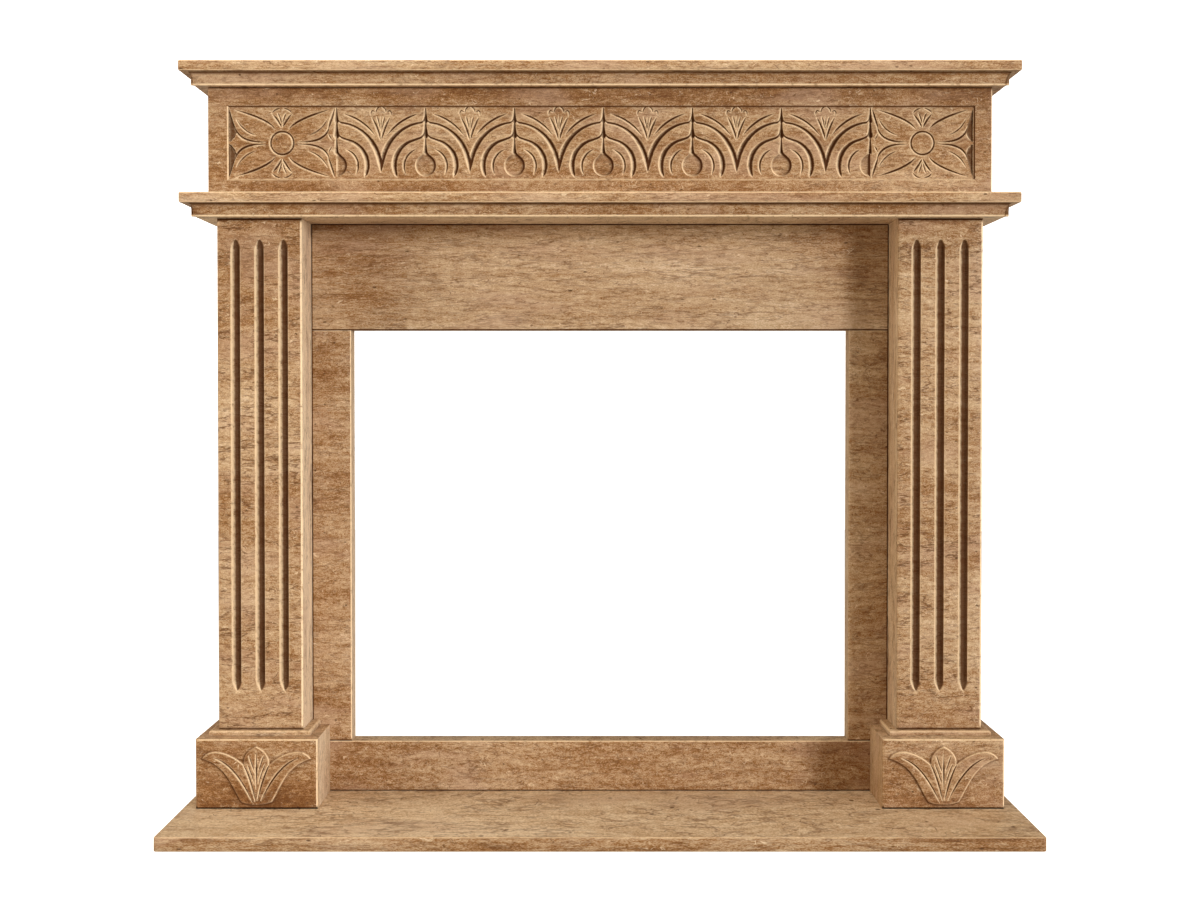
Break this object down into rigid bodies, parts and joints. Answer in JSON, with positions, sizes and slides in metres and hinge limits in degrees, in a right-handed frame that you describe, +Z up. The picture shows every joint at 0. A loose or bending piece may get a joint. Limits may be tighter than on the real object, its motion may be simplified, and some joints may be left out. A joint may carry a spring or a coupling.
{
  "type": "fireplace mantel",
  "caption": "Carved travertine fireplace mantel with fluted pilasters on leaf-carved plinths, a banded frieze between two shelves, an infill frame and a hearth slab.",
  "frame": {"origin": "on the floor, under the middle of the whole mantel's bounding box", "axes": "+X to the viewer's right along the shelves, +Y back towards the wall, +Z up"},
  "size_m": [1.5, 0.5, 1.3624],
  "materials": {
    "travertine": "honed warm brown travertine, satin"
  },
  "bodies": {
    "root": {"hearth": "travertine", "plinth_left": "travertine", "plinth_right": "travertine", "plinth_cap_left": "travertine", "plinth_cap_right": "travertine", "pilaster_left": "travertine", "pilaster_right": "travertine", "infill_base": "travertine", "infill_leg_left": "travertine", "infill_leg_right": "travertine", "infill_header": "travertine", "lower_moulding": "travertine", "lower_shelf": "travertine", "frieze": "travertine", "upper_moulding": "travertine", "top_shelf": "travertine"}
  },
  "joints": []
}
